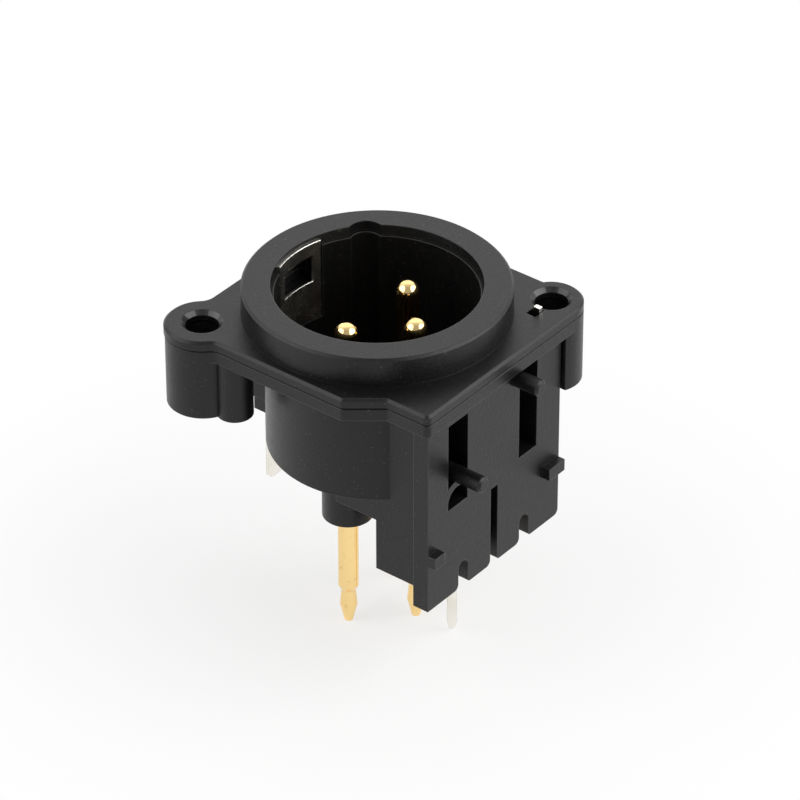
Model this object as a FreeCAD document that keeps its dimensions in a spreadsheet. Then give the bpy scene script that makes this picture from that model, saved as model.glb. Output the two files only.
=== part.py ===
"""Round three-pole panel socket with soldered tails, modelled in millimetres.

The origin is on the socket's axis, at the front face of the flange that seats against the panel.
+Z points out of the socket, the way the mating plug leaves, and the flat mounting wall faces -Y.
"""
import FreeCAD, Part
import os
import re
import Sketcher
from FreeCAD import Vector

CLOCKWISE = -1
COUNTERCLOCKWISE = 1
EDGE_MATCH = 0.02

SIZES = {
    # Collar and plate of the front flange
    "collar_height": 3.1,
    "collar_wall": 2.14,
    "collar_chamfer": 0.24,
    "lip_depth": 1.07,
    "lip_step": 0.15,
    "lip_flare": 0.16,
    "plate_thickness": 1.06,
    "plate_chamfer": 0.25,
    "plate_margin": 0.87,
    "right_margin": 0.82,
    # Ears, their screw holes and the stepped left edge
    "screw_clear": 3.7906,
    "screw_radius": 1.65,
    "screw_chamfer": 0.42,
    "left_ear_radius": 3.75,
    "right_ear_radius": 3.15,
    "ear_blend": 1.5,
    "jog_depth": 2.65,
    "jog_run": 3.35,
    "jog_reach": 4.95,
    "front_corner_round": 0.6,
    "jog_round": 0.5,
    "back_corner_round": 5.0,
    # Rear layer of the flange, and the tube behind and through it
    "rear_layer": 1.39,
    "seam_chamfer": 0.15,
    "bore_radius": 10.0,
    "tube_wall": 1.0,
    "tube_bottom": 14.75,
    "floor_thickness": 1.65,
    "moulding_gap": 0.04,
    "key_angle": 45.3,
    "key_radius": 1.55,
    "key_sink": 0.7,
    "key_flare": 0.12,
    # Mounting wall and the blocks that join it to the tube
    "wall_set_back": 0.75,
    "wall_thickness": 1.8,
    "wall_inset": 1.0,
    "block_inset": 2.55,
    "block_back": 1.0,
    "shelf_drop": 3.15,
    "foot_height": 5.8,
    "foot_clear": 1.24,
    "tab_round": 0.6,
    "tab_back_round": 0.35,
    # Channels open at the wall's lower edge
    "channel_height": 3.0,
    "notch_half": 0.75,
    "notch_offset": 4.85,
    "slit_half": 0.55,
    "slit_lead": 0.1,
    "slit_step_front": 12.0,
    "core_wall": 0.9,
    "core_depth": 4.5,
    # Windows in the wall
    "window_lead": 1.3,
    "left_window_inset": 0.55,
    "left_window_width": 3.05,
    "left_window_drop": 1.15,
    "right_window_inset": 1.15,
    "right_window_width": 2.85,
    "window_back": 9.0,
    # Locating pegs and stops on the wall
    "peg_radius": 0.85,
    "peg_length": 3.2,
    "peg_chamfer": 0.25,
    "left_peg_lift": 3.6,
    "arch_drop": 2.95,
    "arch_radius": 2.3,
    "right_peg_inset": 0.7,
    "right_peg_gap": 1.05,
    "stop_length": 0.9,
    "stop_depth": 1.3,
    "left_stop_lift": 6.7,
    "left_stop_width": 1.55,
    "right_stop_lift": 7.05,
    "right_stop_inset": 0.2,
    "right_stop_width": 2.45,
    # Screw bosses under the ears
    "left_boss_radius": 3.65,
    "right_boss_gap": 0.25,
    "right_boss_step": 1.2,
    "boss_height": 6.45,
    "pillar_radius": 1.83,
    "pillar_side": 0.1,
    "pillar_back": 4.0,
    # Three contact pins and the bosses that hold them
    "pin_offset": 4.76,
    "pin_radius": 1.2,
    "pin_tip": 0.85,
    "pin_band_radius": 1.4,
    "pin_fit": 0.02,
    "pin_boss_wall": 1.16,
    "pin_boss_height": 6.7,
    "tail_radius": 1.025,
    "tail_length": 8.75,
    "neck_radius": 0.735,
    "neck_drop": 0.55,
    "belly_radius": 0.89,
    "belly_drop": 1.85,
    "point_radius": 0.45,
    "point_drop": 1.9,
    # Shell contact: a curved sheet in the bore with a leg outside the tube
    "sheet": 0.3,
    "sheet_fit": 0.05,
    "shell_angle": 18.0,
    "shell_sink": 0.5,
    "seat_room": 1.0,
    "shell_step": 6.0,
    "latch_half": 2.2,
    "latch_top": 1.15,
    "latch_bottom": 1.8,
    "latch_room": 1.2,
    "latch_margin": 0.15,
    "leg_half": 3.0,
    "leg_clear": 0.6,
    "leg_corner": 0.8,
    "leg_short": 0.1,
    # Guides beside that leg
    "guide_gap": 0.2,
    "guide_width": 0.8,
    "guide_proud": 1.6,
    "guide_short": 1.45,
    "guide_toe_proud": 1.0,
    "guide_toe_inset": 0.2,
    "guide_toe_drop": 0.15,
    # Panel contact: one bent strip from the panel to its own tail
    "strip": 0.5,
    "strip_fit": 0.05,
    "strip_width": 0.7,
    "strip_clear": 1.0,
    "strip_tip": 0.55,
    "strip_tip_clear": 2.9,
    "strip_slot_lead": 0.7,
    "strip_slot_width": 1.45,
    "strip_slot_front": 0.75,
    "strip_slot_back": 0.4,
    "strip_foot_drop": 0.55,
    "strip_foot_depth": 1.8,
    "strip_tail_width": 0.85,
    "strip_tail_clear": 4.54,
    "strip_tail_length": 10.4,
    "strip_tail_point": 0.8,
    "strip_tail_tip": 0.4,
}

# Sizes that follow from others. Each needs only sizes that stand before it.
TIED = {
    "tube_radius": "bore_radius + tube_wall",
    "collar_radius": "tube_radius + moulding_gap + collar_wall",
    "screw_offset": "(collar_radius + screw_clear) / sqrt(2)",
    "plate_edge": "collar_radius + plate_margin",
    "right_edge": "collar_radius + right_margin",
    "front_edge": "screw_offset + right_ear_radius",
    "jog_edge": "plate_edge - jog_depth",
    "jog_end": "front_edge - jog_reach",
    "jog_start": "jog_end - jog_run",
    "layer_bottom": "plate_thickness + rear_layer",
    "bore_floor": "tube_bottom - floor_thickness",
    "key_centre": "bore_radius - key_sink",
    "wall_front": "front_edge - wall_set_back",
    "wall_back": "wall_front - wall_thickness",
    "wall_half": "jog_edge - wall_inset",
    "block_half": "wall_half - block_inset",
    "shelf_bottom": "tube_bottom + shelf_drop",
    "wall_bottom": "shelf_bottom + foot_height",
    "foot_back": "pin_offset + foot_clear",
    "channel_top": "wall_bottom - channel_height",
    "slit_top": "tube_bottom - slit_lead",
    "window_bottom": "tube_bottom - window_lead",
    "left_window_outer": "block_half - left_window_inset",
    "left_window_inner": "left_window_outer - left_window_width",
    "right_window_outer": "block_half - right_window_inset",
    "right_window_inner": "right_window_outer - right_window_width",
    "left_window_top": "layer_bottom + left_window_drop",
    "left_peg_side": "(left_window_outer + left_window_inner) / 2",
    "left_peg_drop": "window_bottom - left_peg_lift",
    "right_peg_side": "right_window_inner - right_peg_inset",
    "right_peg_drop": "layer_bottom + right_peg_gap",
    "left_stop_top": "wall_bottom - left_stop_lift",
    "right_stop_top": "wall_bottom - right_stop_lift",
    "boss_bottom": "layer_bottom + boss_height",
    "right_boss_flat": "wall_half + right_boss_gap",
    "pin_boss_radius": "pin_band_radius + pin_boss_wall",
    "pin_boss_bottom": "tube_bottom + pin_boss_height",
    "tail_end": "pin_boss_bottom + tail_length",
    "shell_top": "collar_height - shell_sink",
    "seat_angle": "shell_angle + seat_room",
    "latch_depth": "tube_wall + latch_room",
    "leg_place": "tube_radius + leg_clear",
    "leg_bottom": "wall_bottom - leg_short",
    "guide_reach": "leg_place + guide_proud",
    "guide_bottom": "tube_bottom - guide_short",
    "guide_toe_reach": "leg_place + guide_toe_proud",
    "guide_toe_bottom": "tube_bottom + guide_toe_drop",
    "strip_place": "tube_radius + strip_clear",
    "strip_tip_side": "screw_offset - strip_tip_clear",
    "strip_foot_top": "slit_top + strip_foot_drop",
    "strip_tail_place": "pin_offset + strip_tail_clear",
    "strip_tail_end": "wall_bottom + strip_tail_length",
}

NAME = re.compile(r"[a-z][a-z_]*[a-z]")


def fill_sheet(doc):
    """Put every size in a cell of the sheet, with its name beside it as the cell's alias."""
    sheet = doc.addObject("Spreadsheet::Sheet", "sizes")
    contents = {name: str(value) for name, value in SIZES.items()}
    contents.update((name, "=" + formula) for name, formula in TIED.items())
    for row, (name, content) in enumerate(contents.items(), start=1):
        sheet.set(f"A{row}", name)
        sheet.setAlias(f"B{row}", name)
        sheet.set(f"B{row}", content)
    doc.recompute()


def linked(text):
    """The expression in text, with the sheet's name before each size's name."""
    return NAME.sub(lambda word: "sizes." + word[0] if word[0] in SIZES | TIED else word[0], text)


class Piece:
    """One moulded, turned or stamped piece: a body whose features are bound to the sheet."""

    def __init__(self, doc, label):
        self.doc = doc
        self.body = doc.addObject("PartDesign::Body", label)
        self.body.Label = label

    def value(self, text):
        """The number that an expression stands for now."""
        answer = self.body.evalExpression(linked(text))
        return float(getattr(answer, "Value", answer))

    def sketch(self, name, role, height="0"):
        """An empty sketch on the origin plane of that role, lifted along the plane's normal."""
        sketch = self.body.newObject("Sketcher::SketchObject", name)
        plane = next(part for part in self.body.Origin.OriginFeatures if part.Role == role)
        sketch.AttachmentSupport = [(plane, "")]
        sketch.MapMode = "FlatFace"
        sketch.setExpression("AttachmentOffset.Base.z", linked(height))
        return sketch

    def level(self, name, height):
        """A sketch parallel to the flange, at that height."""
        return self.sketch(name, "XY_Plane", height)

    def front(self, name, distance):
        """A sketch parallel to the mounting wall, that far to -Y: it is drawn in X and Z."""
        return self.sketch(name, "XZ_Plane", distance)

    def side(self, name, distance):
        """A sketch square to the mounting wall, that far to +X: it is drawn in Y and Z."""
        return self.sketch(name, "YZ_Plane", distance)

    def hold(self, sketch, kind, curve, point, text):
        """Set one distance from the sketch's origin to a point of a curve."""
        limit = Sketcher.Constraint(kind, -1, 1, curve, point, self.value(text))
        index = sketch.addConstraint(limit)
        sketch.setExpression(f"Constraints[{index}]", linked(text))

    def circle(self, sketch, across, along, radius):
        """A circle about (across, along)."""
        centre = Vector(self.value(across), self.value(along), 0)
        curve = sketch.addGeometry(Part.Circle(centre, Vector(0, 0, 1), self.value(radius)), False)
        self.hold(sketch, "DistanceX", curve, 3, across)
        self.hold(sketch, "DistanceY", curve, 3, along)
        index = sketch.addConstraint(Sketcher.Constraint("Radius", curve, self.value(radius)))
        sketch.setExpression(f"Constraints[{index}]", linked(radius))

    def rectangle(self, sketch, left, low, right, high):
        """A rectangle between two opposite corners."""
        self.outline(sketch, [(left, low), (right, low), (right, high), (left, high)])

    def outline(self, sketch, steps):
        """A closed outline. A step of two texts is a line to that point; a step of five is an arc
        to the point in its first two, about the centre in its next two, turning its fifth way."""
        points = [Vector(self.value(step[0]), self.value(step[1]), 0) for step in steps]
        ends = []
        for index, step in enumerate(steps):
            start = points[index - 1]
            if len(step) == 2:
                curve = sketch.addGeometry(Part.LineSegment(start, points[index]), False)
                ends.append((curve, 1, 2))
            else:
                ends.append(self.arc(sketch, start, points[index], step))
        for index, step in enumerate(steps):
            curve, _, tail = ends[index]
            following, head, _ = ends[(index + 1) % len(steps)]
            sketch.addConstraint(Sketcher.Constraint("Coincident", curve, tail, following, head))
            self.hold_end(sketch, curve, tail, step, points[index])

    def arc(self, sketch, start, end, step):
        """An arc from start to end, and which of its own ends each of them is."""
        centre = Vector(self.value(step[2]), self.value(step[3]), 0)
        first, last = (start, end) if step[4] == COUNTERCLOCKWISE else (end, start)
        round_line = Part.Circle(centre, Vector(0, 0, 1), start.sub(centre).Length)
        turn_from = round_line.parameter(first)
        turn_to = round_line.parameter(last)
        curve = sketch.addGeometry(Part.ArcOfCircle(round_line, turn_from, turn_to), False)
        self.hold(sketch, "DistanceX", curve, 3, step[2])
        self.hold(sketch, "DistanceY", curve, 3, step[3])
        return (curve, 1, 2) if step[4] == COUNTERCLOCKWISE else (curve, 2, 1)

    def hold_end(self, sketch, curve, tail, step, point):
        """Hold a line's end in both directions, and an arc's end only along its circle."""
        if len(step) == 2:
            self.hold(sketch, "DistanceX", curve, tail, step[0])
            self.hold(sketch, "DistanceY", curve, tail, step[1])
            return
        centre = Vector(self.value(step[2]), self.value(step[3]), 0)
        reach = point.sub(centre)
        if abs(reach.x) > abs(reach.y):
            self.hold(sketch, "DistanceY", curve, tail, step[1])
        else:
            self.hold(sketch, "DistanceX", curve, tail, step[0])

    def swell(self, kind, sketch, length, backward=False):
        """A pad or a pocket of that length, along the sketch's normal or against it."""
        feature = self.body.newObject("PartDesign::" + kind, kind + "_" + sketch.Name)
        feature.Profile = sketch
        feature.Reversed = backward
        feature.setExpression("Length", linked(length))
        self.doc.recompute()
        return feature

    def pad_up(self, sketch, length):
        return self.swell("Pad", sketch, length)

    def pad_down(self, sketch, length):
        return self.swell("Pad", sketch, length, backward=True)

    def cut_down(self, sketch, length):
        return self.swell("Pocket", sketch, length)

    def cut_up(self, sketch, length):
        return self.swell("Pocket", sketch, length, backward=True)

    def turn(self, kind, sketch):
        """A full turn of the sketch about its own upright axis."""
        feature = self.body.newObject("PartDesign::" + kind, kind + "_" + sketch.Name)
        feature.Profile = sketch
        feature.ReferenceAxis = (sketch, ["V_Axis"])
        feature.Angle = 360
        self.doc.recompute()
        return feature

    def dress(self, kind, name, size, chosen):
        """A fillet or chamfer on the edges that chosen accepts."""
        base = self.body.Tip
        numbered = enumerate(base.Shape.Edges, start=1)
        edges = [f"Edge{number}" for number, edge in numbered if chosen(edge)]
        feature = self.body.newObject("PartDesign::" + kind, name)
        feature.Base = (base, edges)
        feature.setExpression("Radius" if kind == "Fillet" else "Size", linked(size))
        self.doc.recompute()
        return feature


def straight_between(edge, first, second):
    """Whether the edge is a straight line that lies along the line through two points."""
    if edge.Curve.TypeId != "Part::GeomLine":
        return False
    way = second.sub(first).normalize()
    ends = [vertex.Point.sub(first) for vertex in edge.Vertexes]
    return all(end.cross(way).Length < EDGE_MATCH for end in ends)


def upright_at(piece, places):
    """Accepts the edges parallel to Z at any of the places, each a pair of expressions."""
    spots = [Vector(piece.value(across), piece.value(along), 0) for across, along in places]
    return lambda edge: any(straight_between(edge, spot, spot + Vector(0, 0, 1)) for spot in spots)


def across_at(piece, sides, height):
    """Accepts the edges parallel to Y at that height, at any of the places along X."""
    spots = [Vector(piece.value(side), 0, piece.value(height)) for side in sides]
    return lambda edge: any(straight_between(edge, spot, spot + Vector(0, 1, 0)) for spot in spots)


def level_circle(piece, height, centre, radius):
    """Accepts the round edges at that height about that centre, with that radius."""
    spot = Vector(piece.value(centre[0]), piece.value(centre[1]), piece.value(height))
    size = piece.value(radius)

    def accept(edge):
        if edge.Curve.TypeId != "Part::GeomCircle":
            return False
        near = edge.Curve.Center.sub(spot).Length < EDGE_MATCH
        return near and abs(edge.Curve.Radius - size) < EDGE_MATCH
    return accept


LEFT_SCREW = ("-screw_offset", "screw_offset")
RIGHT_SCREW = ("screw_offset", "-screw_offset")
TUBE_END = "collar_height - lip_depth - moulding_gap"
KEY_CENTRE = ("key_centre * cos(key_angle * 1deg)", "key_centre * sin(key_angle * 1deg)")
PINS = {
    "pin_1": ("-pin_offset", "0"),
    "pin_2": ("pin_offset", "0"),
    "pin_3": ("0", "-pin_offset"),
}


def flange_layer(piece, name, top, thickness, left_ear, chamfer):
    """One layer of the flange: a plate with two ears, a stepped left edge and rounded corners.
    left_ear names the left ear's radius in this layer, and chamfer the size of its upper rim's."""
    rise = f"sqrt({left_ear}^2 - (plate_edge - screw_offset)^2)"
    ear_foot = ("-plate_edge", f"screw_offset - {rise}")
    ear_shoulder = (f"-screw_offset + {rise}", "plate_edge")
    right_shoulder = "-screw_offset + sqrt(right_ear_radius^2 - (right_edge - screw_offset)^2)"
    layer = piece.level(name, top)
    piece.outline(layer, [
        (*ear_foot, *LEFT_SCREW, COUNTERCLOCKWISE),
        ("-plate_edge", "-jog_start"),
        ("-jog_edge", "-jog_end"),
        ("-jog_edge", "-front_edge"),
        ("screw_offset", "-front_edge"),
        ("right_edge", right_shoulder, *RIGHT_SCREW, COUNTERCLOCKWISE),
        ("right_edge", "plate_edge"),
        ear_shoulder,
    ])
    piece.pad_down(layer, thickness)
    jog_corners = [("-plate_edge", "-jog_start"), ("-jog_edge", "-jog_end")]
    front_corner = [("-jog_edge", "-front_edge")]
    back_corner = [("right_edge", "plate_edge")]
    piece.dress("Fillet", name + "_ear_blends", "ear_blend", upright_at(piece, [ear_foot, ear_shoulder]))
    piece.dress("Fillet", name + "_jog", "jog_round", upright_at(piece, jog_corners))
    piece.dress("Fillet", name + "_front", "front_corner_round", upright_at(piece, front_corner))
    piece.dress("Fillet", name + "_back", "back_corner_round", upright_at(piece, back_corner))
    height = piece.value(top)
    at_top = lambda edge: all(abs(vertex.Z - height) < EDGE_MATCH for vertex in edge.Vertexes)
    piece.dress("Chamfer", name + "_rim", chamfer, at_top)


def sector(piece, sketch, inner, outer, half_angle):
    """Part of a ring about the axis, centred on +Y and that many degrees to each side."""
    across = f"sin(({half_angle}) * 1deg)"
    along = f"cos(({half_angle}) * 1deg)"
    piece.outline(sketch, [
        (f"-({inner}) * {across}", f"({inner}) * {along}", "0", "0", COUNTERCLOCKWISE),
        (f"-({outer}) * {across}", f"({outer}) * {along}"),
        (f"({outer}) * {across}", f"({outer}) * {along}", "0", "0", CLOCKWISE),
        (f"({inner}) * {across}", f"({inner}) * {along}"),
    ])


def latch_pocket(piece, name, low, high):
    """Room behind the shell contact's window for the plug's latch, between two heights."""
    sketch = piece.front(name, "-bore_radius + sheet")
    piece.rectangle(sketch, "-latch_half - latch_margin", low, "latch_half + latch_margin", high)
    piece.cut_down(sketch, "latch_depth - sheet")


def front_flange(doc):
    """The moulding on the panel side: plate, collar and the lip that covers the tube's end."""
    piece = Piece(doc, "front_flange")
    flange_layer(piece, "plate", "0", "plate_thickness", "left_ear_radius", "plate_chamfer")

    collar = piece.level("collar", "0")
    piece.circle(collar, "0", "0", "collar_radius")
    piece.pad_up(collar, "collar_height")
    rim = level_circle(piece, "collar_height", ("0", "0"), "collar_radius")
    piece.dress("Chamfer", "collar_rim", "collar_chamfer", rim)

    bore = piece.front("bore", "0")
    seat_radius = "tube_radius + moulding_gap"
    lip_bottom = "collar_height - lip_depth"
    piece.outline(bore, [
        ("0", "-2 * plate_thickness"),
        (seat_radius, "-2 * plate_thickness"),
        (seat_radius, lip_bottom),
        ("bore_radius + lip_step", lip_bottom),
        ("bore_radius + lip_step + lip_flare", "collar_height"),
        ("bore_radius + lip_step + lip_flare", "2 * collar_height"),
        ("0", "2 * collar_height"),
    ])
    piece.turn("Groove", bore)

    key_seat = piece.level("key_seat", lip_bottom)
    piece.circle(key_seat, *KEY_CENTRE, "key_radius + tube_wall + moulding_gap")
    piece.cut_down(key_seat, f"{lip_bottom} + plate_thickness")
    key_notch = piece.level("key_notch", "collar_height")
    piece.circle(key_notch, *KEY_CENTRE, "key_radius + lip_step + key_flare")
    piece.cut_down(key_notch, "lip_depth")

    shell_seat = piece.level("shell_seat", lip_bottom)
    sector(piece, shell_seat, "bore_radius - tube_wall", "bore_radius + sheet + sheet_fit", "seat_angle")
    piece.cut_up(shell_seat, f"shell_top + sheet_fit - ({lip_bottom})")
    latch_pocket(piece, "latch_room", "-plate_thickness", "latch_top + latch_margin")

    holes = piece.level("screw_holes", "0")
    piece.circle(holes, *LEFT_SCREW, "screw_radius")
    piece.circle(holes, *RIGHT_SCREW, "screw_radius")
    piece.cut_down(holes, "plate_thickness")
    left_rim = level_circle(piece, "0", LEFT_SCREW, "screw_radius")
    right_rim = level_circle(piece, "0", RIGHT_SCREW, "screw_radius")
    piece.dress("Chamfer", "screw_lead", "screw_chamfer", lambda edge: left_rim(edge) or right_rim(edge))

    slot = piece.level("strip_slot", "0")
    slot_left = "strip_tip_side - strip_slot_lead"
    slot_front = "-strip_place - strip_slot_front"
    slot_back = "-strip_place + strip_slot_back"
    piece.rectangle(slot, slot_left, slot_front, f"{slot_left} + strip_slot_width", slot_back)
    piece.cut_down(slot, "plate_thickness")
    return piece.body


def blocks_and_wall(piece):
    """The block under the flange, its narrower foot, and the mounting wall with its open channels."""
    block = piece.level("block", "-layer_bottom")
    piece.rectangle(block, "-block_half", "-wall_back", "block_half", "-block_back")
    piece.pad_down(block, "shelf_bottom - layer_bottom")
    foot = piece.level("foot", "-shelf_bottom")
    piece.rectangle(foot, "-block_half", "-wall_back", "block_half", "-foot_back")
    piece.pad_down(foot, "foot_height")

    wall = piece.front("wall", "wall_back")
    piece.rectangle(wall, "-wall_half", "-wall_bottom", "wall_half", "-layer_bottom")
    piece.pad_up(wall, "wall_thickness")

    notches = piece.front("notches", "wall_front")
    for place in ("-notch_offset", "notch_offset"):
        left = f"{place} - notch_half"
        right = f"{place} + notch_half"
        spring = "-channel_top - notch_half"
        piece.outline(notches, [
            (left, "-wall_bottom"),
            (right, "-wall_bottom"),
            (right, spring),
            (left, spring, place, spring, COUNTERCLOCKWISE),
        ])
    piece.cut_down(notches, "wall_front - foot_back")

    slit = piece.front("slit", "wall_front")
    piece.rectangle(slit, "-slit_half", "-channel_top", "slit_half", "-slit_top")
    piece.cut_down(slit, "wall_front - strip_tail_place + strip_tail_width")
    slit_mouth = piece.front("slit_mouth", "wall_front")
    piece.rectangle(slit_mouth, "-slit_half", "-wall_bottom", "slit_half", "-channel_top")
    piece.cut_down(slit_mouth, "wall_front - slit_step_front")

    cores = piece.level("cores", "-wall_bottom")
    for way in ("-", ""):
        inner = f"{way}(slit_half + core_wall)"
        outer = f"{way}(notch_offset - notch_half - core_wall)"
        piece.rectangle(cores, inner, "-wall_back + core_wall", outer, "-foot_back - core_wall")
    piece.cut_up(cores, "core_depth")


def windows(piece):
    """The two tall windows in the wall, cut in as far as the tube. An arch divides the left one."""
    sketch = piece.front("windows", "wall_front")
    left = "-left_window_outer"
    right = "-left_window_inner"
    arch_centre = ("-left_peg_side", "-left_peg_drop - arch_drop")
    arch_foot = f"{arch_centre[1]} + sqrt(arch_radius^2 - (left_window_width / 2)^2)"
    piece.outline(sketch, [
        (left, "-window_bottom"),
        (right, "-window_bottom"),
        (right, arch_centre[1]),
        (left, arch_centre[1], *arch_centre, COUNTERCLOCKWISE),
    ])
    piece.outline(sketch, [
        (left, arch_foot, *arch_centre, COUNTERCLOCKWISE),
        (left, "-left_window_top"),
        (right, "-left_window_top"),
        (right, arch_foot),
    ])
    piece.rectangle(sketch, "right_window_inner", "-window_bottom", "right_window_outer", "-layer_bottom")
    piece.cut_down(sketch, "wall_front - window_back")


def pegs_and_stops(piece):
    """Two pegs and two stops that locate the wall, the left peg running back through its window."""
    tip = "wall_front + peg_length"
    left_peg = piece.front("left_peg", tip)
    piece.circle(left_peg, "-left_peg_side", "-left_peg_drop", "peg_radius")
    piece.pad_down(left_peg, f"{tip} - window_back")
    right_peg = piece.front("right_peg", tip)
    piece.circle(right_peg, "right_peg_side", "-right_peg_drop", "peg_radius")
    piece.pad_down(right_peg, "peg_length")
    tip_place = piece.value(f"-({tip})")
    at_tip = lambda edge: all(abs(vertex.Y - tip_place) < EDGE_MATCH for vertex in edge.Vertexes)
    piece.dress("Chamfer", "peg_tips", "peg_chamfer", at_tip)

    stops = piece.front("stops", "wall_front")
    left_inner = "-wall_half + left_stop_width"
    right_outer = "wall_half - right_stop_inset"
    right_inner = f"{right_outer} - right_stop_width"
    piece.rectangle(stops, "-wall_half", "-left_stop_top - stop_depth", left_inner, "-left_stop_top")
    piece.rectangle(stops, right_inner, "-right_stop_top - stop_depth", right_outer, "-right_stop_top")
    piece.pad_up(stops, "stop_length")


def screw_bosses(piece):
    """The round bosses under the ears, the right one cut flat beside the wall, and the left pillar."""
    bosses = piece.level("bosses", "-layer_bottom")
    piece.circle(bosses, *LEFT_SCREW, "left_boss_radius")
    piece.circle(bosses, *RIGHT_SCREW, "right_ear_radius")
    piece.pad_down(bosses, "boss_height")
    flat = piece.level("right_boss_cut", "-layer_bottom")
    cut_left = "screw_offset - 2 * right_ear_radius"
    cut_front = "-screw_offset - 2 * right_ear_radius"
    piece.rectangle(flat, cut_left, cut_front, "right_boss_flat", "-wall_front + right_boss_step")
    piece.cut_down(flat, "boss_height")
    pillar = piece.level("pillar", "-layer_bottom")
    piece.circle(pillar, "-screw_offset - pillar_side", "screw_offset - pillar_back", "pillar_radius")
    piece.pad_down(pillar, "boss_height")


def leg_guides(piece):
    """The pair of webs on +Y between which the shell contact's leg hangs."""
    inner = "leg_half + guide_gap"
    outer = "leg_half + guide_gap + guide_width"
    webs = piece.level("guide_webs", "-layer_bottom")
    toes = piece.level("guide_toes", "-guide_bottom")
    toe_inner = f"{inner} + guide_toe_inset"
    toe_outer = f"{outer} - guide_toe_inset"
    for way in ("-", ""):
        piece.rectangle(webs, f"{way}({inner})", "bore_radius", f"{way}({outer})", "guide_reach")
        piece.rectangle(toes, f"{way}({toe_inner})", "bore_radius", f"{way}({toe_outer})", "guide_toe_reach")
    piece.pad_down(webs, "guide_bottom - layer_bottom")
    piece.pad_down(toes, "guide_toe_bottom - guide_bottom")


def tube_and_bore(piece):
    """The tube through the flange with its floor, bore and key channel, and the bosses for the pins."""
    tube = piece.level("tube", TUBE_END)
    piece.circle(tube, "0", "0", "tube_radius")
    piece.pad_down(tube, f"{TUBE_END} + tube_bottom")
    key_wall = piece.level("key_wall", TUBE_END)
    piece.circle(key_wall, *KEY_CENTRE, "key_radius + tube_wall")
    piece.pad_down(key_wall, f"{TUBE_END} + tube_bottom")
    pin_bosses = piece.level("pin_bosses", "-tube_bottom")
    for place in PINS.values():
        piece.circle(pin_bosses, *place, "pin_boss_radius")
    piece.pad_down(pin_bosses, "pin_boss_height")

    depth = f"{TUBE_END} + bore_floor"
    bore = piece.level("bore", TUBE_END)
    piece.circle(bore, "0", "0", "bore_radius")
    piece.cut_down(bore, depth)
    key = piece.level("key", TUBE_END)
    piece.circle(key, *KEY_CENTRE, "key_radius")
    piece.cut_down(key, depth)


def contact_seats(piece):
    """The holes, recesses and slots in which the five contacts sit."""
    pin_holes = piece.level("pin_holes", "-bore_floor")
    for place in PINS.values():
        piece.circle(pin_holes, *place, "pin_band_radius + pin_fit")
    piece.cut_down(pin_holes, "pin_boss_bottom - bore_floor + pin_fit")

    shell = piece.level("shell_recess", TUBE_END)
    sector(piece, shell, "bore_radius - tube_wall", "bore_radius + sheet + sheet_fit", "seat_angle")
    piece.cut_down(shell, f"{TUBE_END} + shell_step + sheet + sheet_fit")
    step = piece.level("shell_step_slot", "-shell_step + sheet_fit")
    side = "leg_half + guide_gap"
    piece.rectangle(step, f"-({side})", "bore_radius - tube_wall", side, "guide_reach")
    piece.cut_down(step, "sheet + 2 * sheet_fit")
    latch_pocket(piece, "latch_room", "-latch_bottom - latch_margin", TUBE_END)

    arm = piece.front("strip_arm_room", "strip_place - strip_fit")
    strip_right = "strip_tip_side + strip + strip_fit"
    piece.outline(arm, [
        ("-strip / 2 - strip_fit", "-slit_top - strip"),
        ("strip / 2 + strip_fit", "-slit_top - strip"),
        ("strip / 2 + strip_fit", "-plate_thickness - strip - strip_fit"),
        (strip_right, "-plate_thickness - strip - strip_fit"),
        (strip_right, "-plate_thickness"),
        ("-strip / 2 - strip_fit", "-plate_thickness"),
    ])
    piece.cut_up(arm, "strip_width + 2 * strip_fit")
    tail = piece.level("strip_tail_hole", "-channel_top")
    half = "strip / 2 + strip_fit"
    front = "-strip_tail_place - strip_tail_width / 2 - strip_fit"
    back = "-strip_tail_place + strip_tail_width / 2 + strip_fit"
    piece.rectangle(tail, f"-({half})", front, half, back)
    piece.cut_down(tail, "channel_height")


def rear_housing(doc):
    """The main moulding behind the flange: tube, wall, blocks, bosses and guides in one piece."""
    piece = Piece(doc, "rear_housing")
    flange_layer(piece, "layer", "-plate_thickness", "rear_layer", "left_boss_radius", "seam_chamfer")
    screw_bosses(piece)
    blocks_and_wall(piece)
    windows(piece)
    leg_guides(piece)
    tube_and_bore(piece)
    pegs_and_stops(piece)
    contact_seats(piece)
    holes = piece.level("screw_holes", "-plate_thickness")
    piece.circle(holes, *LEFT_SCREW, "screw_radius")
    piece.circle(holes, *RIGHT_SCREW, "screw_radius")
    piece.cut_down(holes, "boss_bottom - plate_thickness")
    tab_fronts = ("-notch_offset - notch_half", "-slit_half", "notch_offset - notch_half", "wall_half")
    tab_backs = ("-notch_offset + notch_half", "slit_half", "notch_offset + notch_half")
    piece.dress("Fillet", "tab_corners", "tab_round", across_at(piece, tab_fronts, "-wall_bottom"))
    piece.dress("Fillet", "tab_backs", "tab_back_round", across_at(piece, tab_backs, "-wall_bottom"))
    return piece.body


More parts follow.
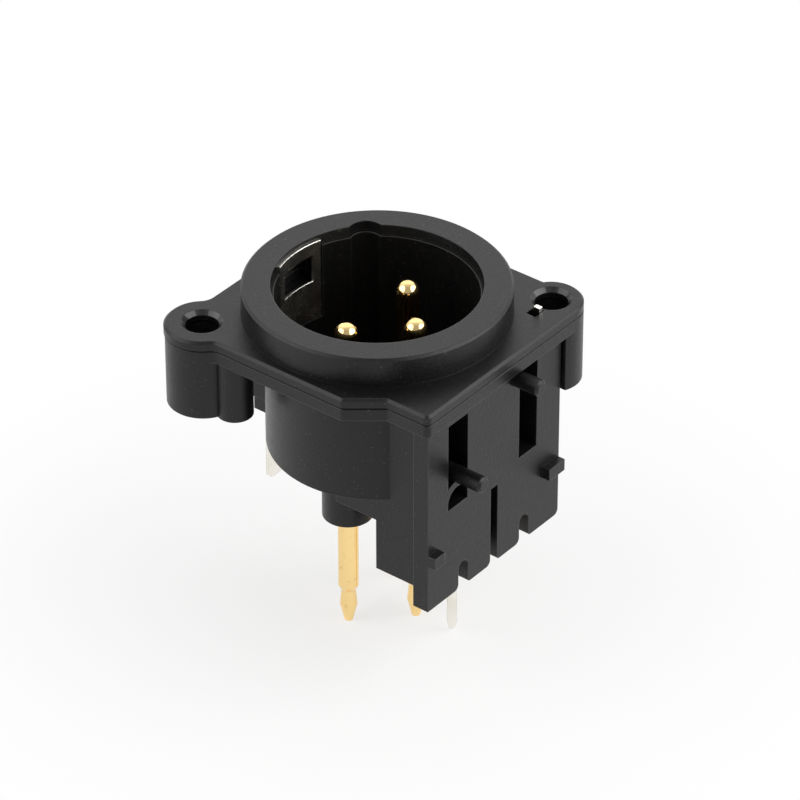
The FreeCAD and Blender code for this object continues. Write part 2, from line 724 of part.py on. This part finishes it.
def contact_pin(doc, label, place):
    """A turned pin: a round-nosed front, a wider band held in its boss, and a tail with a snap-in neck."""
    piece = Piece(doc, label)
    profile = piece.front("profile", "0")
    neck = "-tail_end - neck_drop"
    belly = f"{neck} - belly_drop"
    piece.outline(profile, [
        ("0", f"{belly} - point_drop"),
        ("point_radius", f"{belly} - point_drop"),
        ("belly_radius", belly),
        ("neck_radius", neck),
        ("tail_radius", "-tail_end"),
        ("tail_radius", "-pin_boss_bottom"),
        ("pin_band_radius", "-pin_boss_bottom"),
        ("pin_band_radius", "-bore_floor"),
        ("pin_radius", "-bore_floor"),
        ("pin_radius", "pin_tip - pin_radius"),
        ("0", "pin_tip", "0", "pin_tip - pin_radius", COUNTERCLOCKWISE),
    ])
    piece.turn("Revolution", profile)
    piece.body.setExpression("Placement.Base.x", linked(place[0]))
    piece.body.setExpression("Placement.Base.y", linked(place[1]))
    return piece.body


def shell_contact(doc):
    """The stamped sheet that touches the plug's shell, stepped out through the tube to its leg."""
    piece = Piece(doc, "shell_contact")
    curved = piece.level("curved", "shell_top")
    sector(piece, curved, "bore_radius", "bore_radius + sheet", "shell_angle")
    piece.pad_down(curved, "shell_top + shell_step + sheet")
    window = piece.front("window", "-bore_radius + sheet")
    piece.rectangle(window, "-latch_half", "-latch_bottom", "latch_half", "latch_top")
    piece.cut_down(window, "2 * sheet + latch_depth")

    step = piece.level("step", "-shell_step")
    across = "bore_radius * sin(shell_angle * 1deg)"
    along = "bore_radius * cos(shell_angle * 1deg)"
    piece.outline(step, [
        (f"-{across}", along, "0", "0", COUNTERCLOCKWISE),
        (f"-{across}", "leg_place + sheet"),
        (across, "leg_place + sheet"),
        (across, along),
    ])
    piece.pad_down(step, "sheet")
    leg = piece.front("leg", "-leg_place")
    piece.rectangle(leg, "-leg_half", "-leg_bottom", "leg_half", "-shell_step")
    piece.pad_down(leg, "sheet")
    leg_sides = ("-leg_half", "leg_half")
    piece.dress("Fillet", "leg_corners", "leg_corner", across_at(piece, leg_sides, "-leg_bottom"))
    return piece.body


def panel_contact(doc):
    """The strip that touches the panel beside the right ear and runs down to a tail of its own."""
    piece = Piece(doc, "panel_contact")
    strip = piece.front("strip", "strip_place")
    bend_top = "-plate_thickness"
    piece.outline(strip, [
        ("-strip / 2", "-strip_foot_top"),
        ("strip / 2", "-strip_foot_top"),
        ("strip / 2", f"{bend_top} - strip"),
        ("strip_tip_side + strip", f"{bend_top} - strip"),
        ("strip_tip_side + strip", "strip_tip"),
        ("strip_tip_side", "strip_tip"),
        ("strip_tip_side", bend_top),
        ("-strip / 2", bend_top),
    ])
    piece.pad_up(strip, "strip_width")

    blade = piece.side("blade", "-strip / 2")
    tail_front = "-strip_tail_place - strip_tail_width / 2"
    tail_back = "-strip_tail_place + strip_tail_width / 2"
    foot_bottom = "-strip_foot_top - strip_foot_depth"
    point_front = "-strip_tail_place - strip_tail_tip / 2"
    point_back = "-strip_tail_place + strip_tail_tip / 2"
    piece.outline(blade, [
        ("-strip_place - strip_width", foot_bottom),
        (tail_front, foot_bottom),
        (tail_front, "-strip_tail_end + strip_tail_point"),
        (point_front, "-strip_tail_end"),
        (point_back, "-strip_tail_end"),
        (tail_back, "-strip_tail_end + strip_tail_point"),
        (tail_back, "-strip_foot_top"),
        ("-strip_place - strip_width", "-strip_foot_top"),
    ])
    piece.pad_up(blade, "strip")
    return piece.body


def check(doc, bodies):
    """Stop unless every object was made and every piece is one sound solid."""
    for item in doc.Objects:
        if "Invalid" in item.State or "Error" in item.State:
            raise RuntimeError(f"{item.Label} was not made: {item.State}")
    for body in bodies:
        if body.Shape.isNull() or not body.Shape.isValid() or len(body.Shape.Solids) != 1:
            raise RuntimeError(f"{body.Label} is not one sound solid")


def build():
    doc = FreeCAD.newDocument("panel_socket")
    fill_sheet(doc)
    bodies = [front_flange(doc), rear_housing(doc)]
    bodies += [contact_pin(doc, label, place) for label, place in PINS.items()]
    bodies += [shell_contact(doc), panel_contact(doc)]
    doc.recompute()
    check(doc, bodies)
    os.makedirs("parts", exist_ok=True)
    for body in bodies:
        body.Shape.exportStep(f"parts/{body.Label}.step")
        box = body.Shape.BoundBox
        print(f"{body.Label}: {body.Shape.Volume:.1f} mm3, z {box.ZMin:.2f} to {box.ZMax:.2f}")


build()
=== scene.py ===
"""Round three-pole panel socket: its finishes, the light on it and the camera, in metres.

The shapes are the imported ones. The origin is on the socket's axis at the front face of the flange,
+Z points out of the socket and the flat mounting wall faces -Y.
"""

import math
import bpy
from mathutils import Matrix, Vector


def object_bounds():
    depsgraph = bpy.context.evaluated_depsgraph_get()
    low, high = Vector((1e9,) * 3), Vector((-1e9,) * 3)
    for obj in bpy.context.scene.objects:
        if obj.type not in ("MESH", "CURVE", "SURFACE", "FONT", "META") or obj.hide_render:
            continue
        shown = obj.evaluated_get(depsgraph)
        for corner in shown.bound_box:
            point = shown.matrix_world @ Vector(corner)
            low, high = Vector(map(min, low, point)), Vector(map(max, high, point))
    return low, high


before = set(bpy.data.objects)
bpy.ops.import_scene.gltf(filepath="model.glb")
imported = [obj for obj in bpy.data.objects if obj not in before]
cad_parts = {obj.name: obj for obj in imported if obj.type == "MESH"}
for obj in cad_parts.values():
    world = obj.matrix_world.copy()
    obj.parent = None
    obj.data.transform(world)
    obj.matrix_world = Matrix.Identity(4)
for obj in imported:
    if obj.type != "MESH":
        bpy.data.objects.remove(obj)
cad_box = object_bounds()

MILLIMETRE = 0.001

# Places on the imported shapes, in millimetres
SCREW_OFFSET = 12.0  # from the axis to a screw hole, along X and along Y
SCREW_MOUTH = 2.15  # a radius that takes in the hole's countersink
SCREW_TOP = -0.01  # just below the flange's front face
SEAM_HEIGHT = -1.07  # the middle of the painted shade line between the two flange layers
SEAM_HALF = 0.07  # half the height of that line
TUBE_REACH = 12.0  # from the origin to past the tube, so that the line stays out of the bore
CORNER_REACH = 0.12  # how far the painted edge highlight and the painted corner shade reach from an edge or an inner corner

# Rays that find a rounded edge, and those that find a corner
EDGE_RAYS = 6
CORNER_RAYS = 8

WHITE = (1.0, 1.0, 1.0, 1.0)


class Field:
    """A value that changes over a surface: one output of a shader node."""

    def __init__(self, recipe, socket):
        self.recipe = recipe
        self.socket = socket

    def __add__(self, other):
        return self.recipe.maths("ADD", self, other)

    def __mul__(self, other):
        return self.recipe.maths("MULTIPLY", self, other)

    __radd__ = __add__
    __rmul__ = __mul__


class Recipe:
    """The shader nodes of one finish, or of the light around the socket."""

    def __init__(self, owner):
        owner.use_nodes = True
        self.tree = owner.node_tree
        self.tree.nodes.clear()

    def node(self, kind, settings=None, values=None, output=0):
        """Add a node: its settings first, then a number or a link for each socket."""
        node = self.tree.nodes.new(kind)
        for name, setting in (settings or {}).items():
            if name == "stops":
                self.set_stops(node.color_ramp, setting)
            else:
                setattr(node, name, setting)
        for key, value in (values or {}).items():
            if isinstance(value, Field):
                self.tree.links.new(value.socket, node.inputs[key])
            else:
                node.inputs[key].default_value = value
        return Field(self, node.outputs[output] if node.outputs else None)

    def set_stops(self, ramp, stops):
        """Give a ramp its stops: each a place from 0 to 1 and a grey."""
        while len(ramp.elements) < len(stops):
            ramp.elements.new(1.0)
        for element, (place, grey) in zip(ramp.elements, stops):
            element.position = place
            element.color = (grey, grey, grey, 1.0)

    def maths(self, operation, *values):
        """Arithmetic or a comparison of numbers and fields."""
        return self.node("ShaderNodeMath", {"operation": operation}, dict(enumerate(values)))

    def measure(self, operation, *places):
        """One number worked out from places or directions, such as a length."""
        settings = {"operation": operation}
        return self.node("ShaderNodeVectorMath", settings, dict(enumerate(places)), output="Value")

    def place(self):
        """The point of the surface, in metres from the socket's origin."""
        return self.node("ShaderNodeTexCoord", output="Object")

    def mix(self, share, first, second):
        """The colour that far from the first one to the second."""
        values = {0: share, 6: first, 7: second}
        return self.node("ShaderNodeMix", {"data_type": "RGBA"}, values, output=2)

    def seen_by(self, *kinds):
        """1 for rays of those kinds, such as Camera or Glossy, and 0 for all others."""
        rays = [self.node("ShaderNodeLightPath", output=f"Is {kind} Ray") for kind in kinds]
        return sum(rays[1:], rays[0])

    def grain(self, size, detail=2.0, roughness=0.5):
        """Irregular grain from 0 to 1, with spots about that many millimetres across."""
        scale = 1.0 / (size * MILLIMETRE)
        values = {"Vector": self.place(), "Scale": scale, "Detail": detail, "Roughness": roughness}
        return self.node("ShaderNodeTexNoise", {}, values)

    def steps(self, field, *stops):
        """The field passed through a ramp of greys."""
        return self.node("ShaderNodeValToRGB", {"stops": stops}, {0: field})

    def blend(self, share, first, second):
        """The shader that far from the first one to the second."""
        return self.node("ShaderNodeMixShader", {}, {0: share, 1: first, 2: second})

    def coating(self, **values):
        """A surface shader. A socket's name is written with underscores."""
        sockets = {name.replace("_", " "): value for name, value in values.items()}
        return self.node("ShaderNodeBsdfPrincipled", {}, sockets)

    def cover(self, shader):
        """Close a material's recipe with the shader of its surface."""
        self.node("ShaderNodeOutputMaterial", {}, {"Surface": shader})


def finish(name):
    """A new empty material and its recipe."""
    material = bpy.data.materials.new(name)
    return material, Recipe(material)


def textured(recipe, height, strength, depth, radius):
    """The normal of a surface with that grain, so many millimetres deep, and with its sharp edges
    rounded by a radius in millimetres.
    """
    edge = {"Radius": radius * MILLIMETRE}
    values = {
        "Strength": strength,
        "Distance": depth * MILLIMETRE,
        "Height": height,
        "Normal": recipe.node("ShaderNodeBevel", {"samples": EDGE_RAYS}, edge),
    }
    return recipe.node("ShaderNodeBump", {}, values)


def flange_seam(recipe):
    """1 on the line outside the bore where the front flange meets the housing, and 0 elsewhere: the
    mask of a painted shade line in that joint.
    """
    place = recipe.place()
    level = recipe.node("ShaderNodeSeparateXYZ", {}, {0: place}, output="Z")
    line = recipe.maths("COMPARE", level, SEAM_HEIGHT * MILLIMETRE, SEAM_HALF * MILLIMETRE)
    reach = recipe.measure("LENGTH", place)
    return line * recipe.maths("GREATER_THAN", reach, TUBE_REACH * MILLIMETRE)


def polished_holes(recipe):
    """1 inside the two screw holes and on their countersinks, and 0 elsewhere."""
    place = recipe.place()
    level = recipe.node("ShaderNodeSeparateXYZ", {}, {0: place}, output="Z")
    values = {0: place, 1: (1.0, 1.0, 0.0)}
    flat = recipe.node("ShaderNodeVectorMath", {"operation": "MULTIPLY"}, values)
    offset = SCREW_OFFSET * MILLIMETRE
    left = recipe.measure("DISTANCE", flat, (-offset, offset, 0.0))
    right = recipe.measure("DISTANCE", flat, (offset, -offset, 0.0))
    nearer = recipe.maths("MINIMUM", left, right)
    inside = recipe.maths("LESS_THAN", nearer, SCREW_MOUTH * MILLIMETRE)
    return inside * recipe.maths("LESS_THAN", level, SCREW_TOP * MILLIMETRE)


def near_corner(recipe, inside, strength):
    """That strength on outer edges, which are found from inside the solid, or in inner corners,
    which are found from outside it, and 0 on plain faces: the mask of the painted edge highlight
    and of the painted corner shade.
    """
    settings = {"inside": inside, "samples": CORNER_RAYS}
    values = {"Distance": CORNER_REACH * MILLIMETRE}
    openness = recipe.node("ShaderNodeAmbientOcclusion", settings, values, output="AO")
    return recipe.steps(openness, (0.55, strength), (0.90, 0.0))


def moulded_black():
    """Black moulded plastic with a fine grain, blotchy gloss and a few specks of light dust.

    Its outer edges are lighter as a painted highlight, its inner corners and the flange's seam
    are painted black as painted shade, and its screw holes are polished.
    """
    deep, pale = (0.0038, 0.0037, 0.0036, 1.0), (0.0062, 0.0060, 0.0059, 1.0)
    # the second colour on this line is a painted highlight for the outer edges; the first is dust
    speck, painted_edge_highlight = (0.035, 0.035, 0.034, 1.0), (0.045, 0.045, 0.044, 1.0)
    material, recipe = finish("moulded_black")
    fine = recipe.grain(0.22, detail=4.0, roughness=0.7)
    blotch = recipe.grain(0.9, detail=3.0, roughness=0.6)
    dust = recipe.steps(recipe.grain(0.30, detail=1.0), (0.70, 0.0), (0.75, 1.0))
    dusty = recipe.mix(dust, recipe.mix(blotch, deep, pale), speck)
    plastic = recipe.coating(
        # painted highlight: the outer edges are lightened towards a paler grey by the edge mask
        Base_Color=recipe.mix(near_corner(recipe, inside=True, strength=1.0), dusty, painted_edge_highlight),
        Roughness=0.21 + 0.14 * fine + 0.12 * blotch,
        Specular_IOR_Level=0.34,
        Coat_Weight=0.6 * polished_holes(recipe),
        Coat_Roughness=0.12,
        Normal=textured(recipe, fine + 0.25 * blotch, strength=0.7, depth=0.05, radius=0.13),
    )
    # painted shade: a black surface without gloss, put in the inner corners and along the flange's
    # seam
    painted_shade = recipe.coating(Base_Color=(0.0, 0.0, 0.0, 1.0), Roughness=1.0, Specular_IOR_Level=0.0)
    # painted shade in the inner corners, which are found with ambient occlusion
    corners = near_corner(recipe, inside=False, strength=0.6)
    # painted shade replaces the plastic along the flange's seam and in the inner corners
    recipe.cover(recipe.blend(recipe.maths("MAXIMUM", flange_seam(recipe), corners), plastic, painted_shade))
    return material


def plated_gold():
    """Gold plate on turned brass: bright, with small stains and a fine grain."""
    clean, stained = (1.0, 0.73, 0.33, 1.0), (0.89, 0.58, 0.23, 1.0)
    material, recipe = finish("plated_gold")
    stain = recipe.steps(recipe.grain(0.9, detail=4.0, roughness=0.65), (0.58, 0.0), (0.8, 1.0))
    plate = recipe.coating(
        Base_Color=recipe.mix(stain, clean, stained),
        Metallic=1.0,
        Roughness=0.11 + 0.12 * stain,
        Normal=textured(recipe, recipe.grain(0.06), strength=0.06, depth=0.01, radius=0.04),
    )
    recipe.cover(plate)
    return material


def tinned_sheet(name, dullness):
    """Tin plate on stamped sheet: rolled, a little uneven and dulled in faint patches."""
    bright, dull = (0.97, 0.95, 0.90, 1.0), (0.86, 0.83, 0.75, 1.0)
    material, recipe = finish(name)
    patches = recipe.steps(recipe.grain(2.5), (0.3, 0.0), (0.8, 1.0))
    plate = recipe.coating(
        Base_Color=recipe.mix(patches, bright, dull),
        Metallic=1.0,
        Roughness=dullness + 0.08 * patches,
        Normal=textured(recipe, recipe.grain(0.12), strength=0.1, depth=0.01, radius=0.12),
    )
    recipe.cover(plate)
    return material


def dress_socket():
    """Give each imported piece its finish."""
    black, gold = moulded_black(), plated_gold()
    finishes = {
        "front_flange": black,
        "rear_housing": black,
        "pin_1": gold,
        "pin_2": gold,
        "pin_3": gold,
        "shell_contact": tinned_sheet("dull_tin", dullness=0.235),
        "panel_contact": tinned_sheet("bright_tin", dullness=0.18),
    }
    for name, material in finishes.items():
        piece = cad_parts[name]
        piece.data.materials.clear()
        piece.data.materials.append(material)


def white_floor(height):
    """A pale floor under the tails.

    It keeps the socket's soft shadow and fades to plain white away from it.
    """
    half = 1.5
    fade_reach = 100 * MILLIMETRE
    gloss_share = 0.6
    corners = [(-half, -half), (half, -half), (half, half), (-half, half)]
    mesh = bpy.data.meshes.new("floor")
    mesh.from_pydata([(x, y, height) for x, y in corners], [], [(0, 1, 2, 3)])
    floor = bpy.data.objects.new("floor", mesh)
    bpy.context.scene.collection.objects.link(floor)
    material, recipe = finish("floor_white")
    reach = recipe.measure("LENGTH", recipe.place())
    fade = recipe.steps(reach * (1.0 / fade_reach), (0.25, 0.5), (0.62, 1.0))
    paint = recipe.node("ShaderNodeBsdfDiffuse", {}, {"Color": (0.86, 0.86, 0.855, 1.0)})
    plain = recipe.node("ShaderNodeEmission", {}, {"Color": WHITE, "Strength": 1.0})
    gloss = gloss_share * recipe.seen_by("Glossy", "Transmission")
    recipe.cover(recipe.blend(fade * recipe.seen_by("Camera") + gloss, paint, plain))
    mesh.materials.append(material)


def studio_air():
    """Even pale light from all round, plain white to the eye.

    Gloss sees a white backdrop behind the socket and a dimmer room in front of it.
    """
    ambient, white_to_the_eye = 0.3, 0.7
    backward = (0.784, 0.621, 0.0)
    world = bpy.data.worlds.new("studio_air")
    bpy.context.scene.world = world
    recipe = Recipe(world)
    way = recipe.node("ShaderNodeTexCoord", output="Generated")
    facing = recipe.measure("DOT_PRODUCT", way, backward)
    backdrop = recipe.steps(0.5 * facing + 0.5, (0.3, 0.15), (0.7, 0.7))
    plain = white_to_the_eye * recipe.seen_by("Camera")
    strength = ambient + plain + backdrop * recipe.seen_by("Glossy", "Transmission")
    air = recipe.node("ShaderNodeBackground", {}, {"Color": WHITE, "Strength": strength})
    recipe.node("ShaderNodeOutputWorld", {}, {"Surface": air})


def softbox(name, direction, distance, width, radiance):
    """A round soft lamp in that direction from the socket, facing it."""
    way = Vector(direction).normalized()
    light = bpy.data.lights.new(name, "AREA")
    light.shape = "DISK"
    light.size = width
    light.energy = radiance * math.pi * math.pi * (width / 2) ** 2
    lamp = bpy.data.objects.new(name, light)
    lamp.location = distance * way
    lamp.rotation_euler = way.to_track_quat("Z", "Y").to_euler()
    bpy.context.scene.collection.objects.link(lamp)


def camera():
    """The photograph's camera, from its measured focal length, place and direction."""
    focal_pixels = 5180.6
    frame_pixels = 800
    sensor = 36.0
    distance, sideways, down = 498.25, 2.172, 11.273
    collar_top = Vector((0.0, 0.0, 3.1))
    back = Vector((-0.64388, -0.51022, 0.57018))
    level = Vector((0.62106, -0.78376, 0.0))
    upward = back.cross(level)
    lean = math.radians(-0.081)
    right = math.cos(lean) * level + math.sin(lean) * upward
    above = math.cos(lean) * upward - math.sin(lean) * level
    place = distance * back + sideways * level - down * upward + collar_top
    data = bpy.data.cameras.new("camera")
    data.sensor_width = sensor
    data.lens = focal_pixels * sensor / frame_pixels
    data.clip_start = 0.01
    eye = bpy.data.objects.new("camera", data)
    turn = Matrix((right, above, back)).transposed().to_4x4()
    eye.matrix_world = Matrix.Translation(place * MILLIMETRE) @ turn
    bpy.context.scene.collection.objects.link(eye)
    bpy.context.scene.camera = eye


dress_socket()
camera()
white_floor(cad_box[0][2])
studio_air()
softbox("left_softbox", (-0.70, 0.52, 0.49), distance=0.5, width=0.60, radiance=2.0)
softbox("right_softbox", (0.35, -0.80, 0.49), distance=0.5, width=0.62, radiance=3.0)
softbox("back_softbox", (0.60, 0.50, 0.62), distance=0.8, width=1.3, radiance=0.4)

bpy.context.scene.view_settings.view_transform = "Standard"
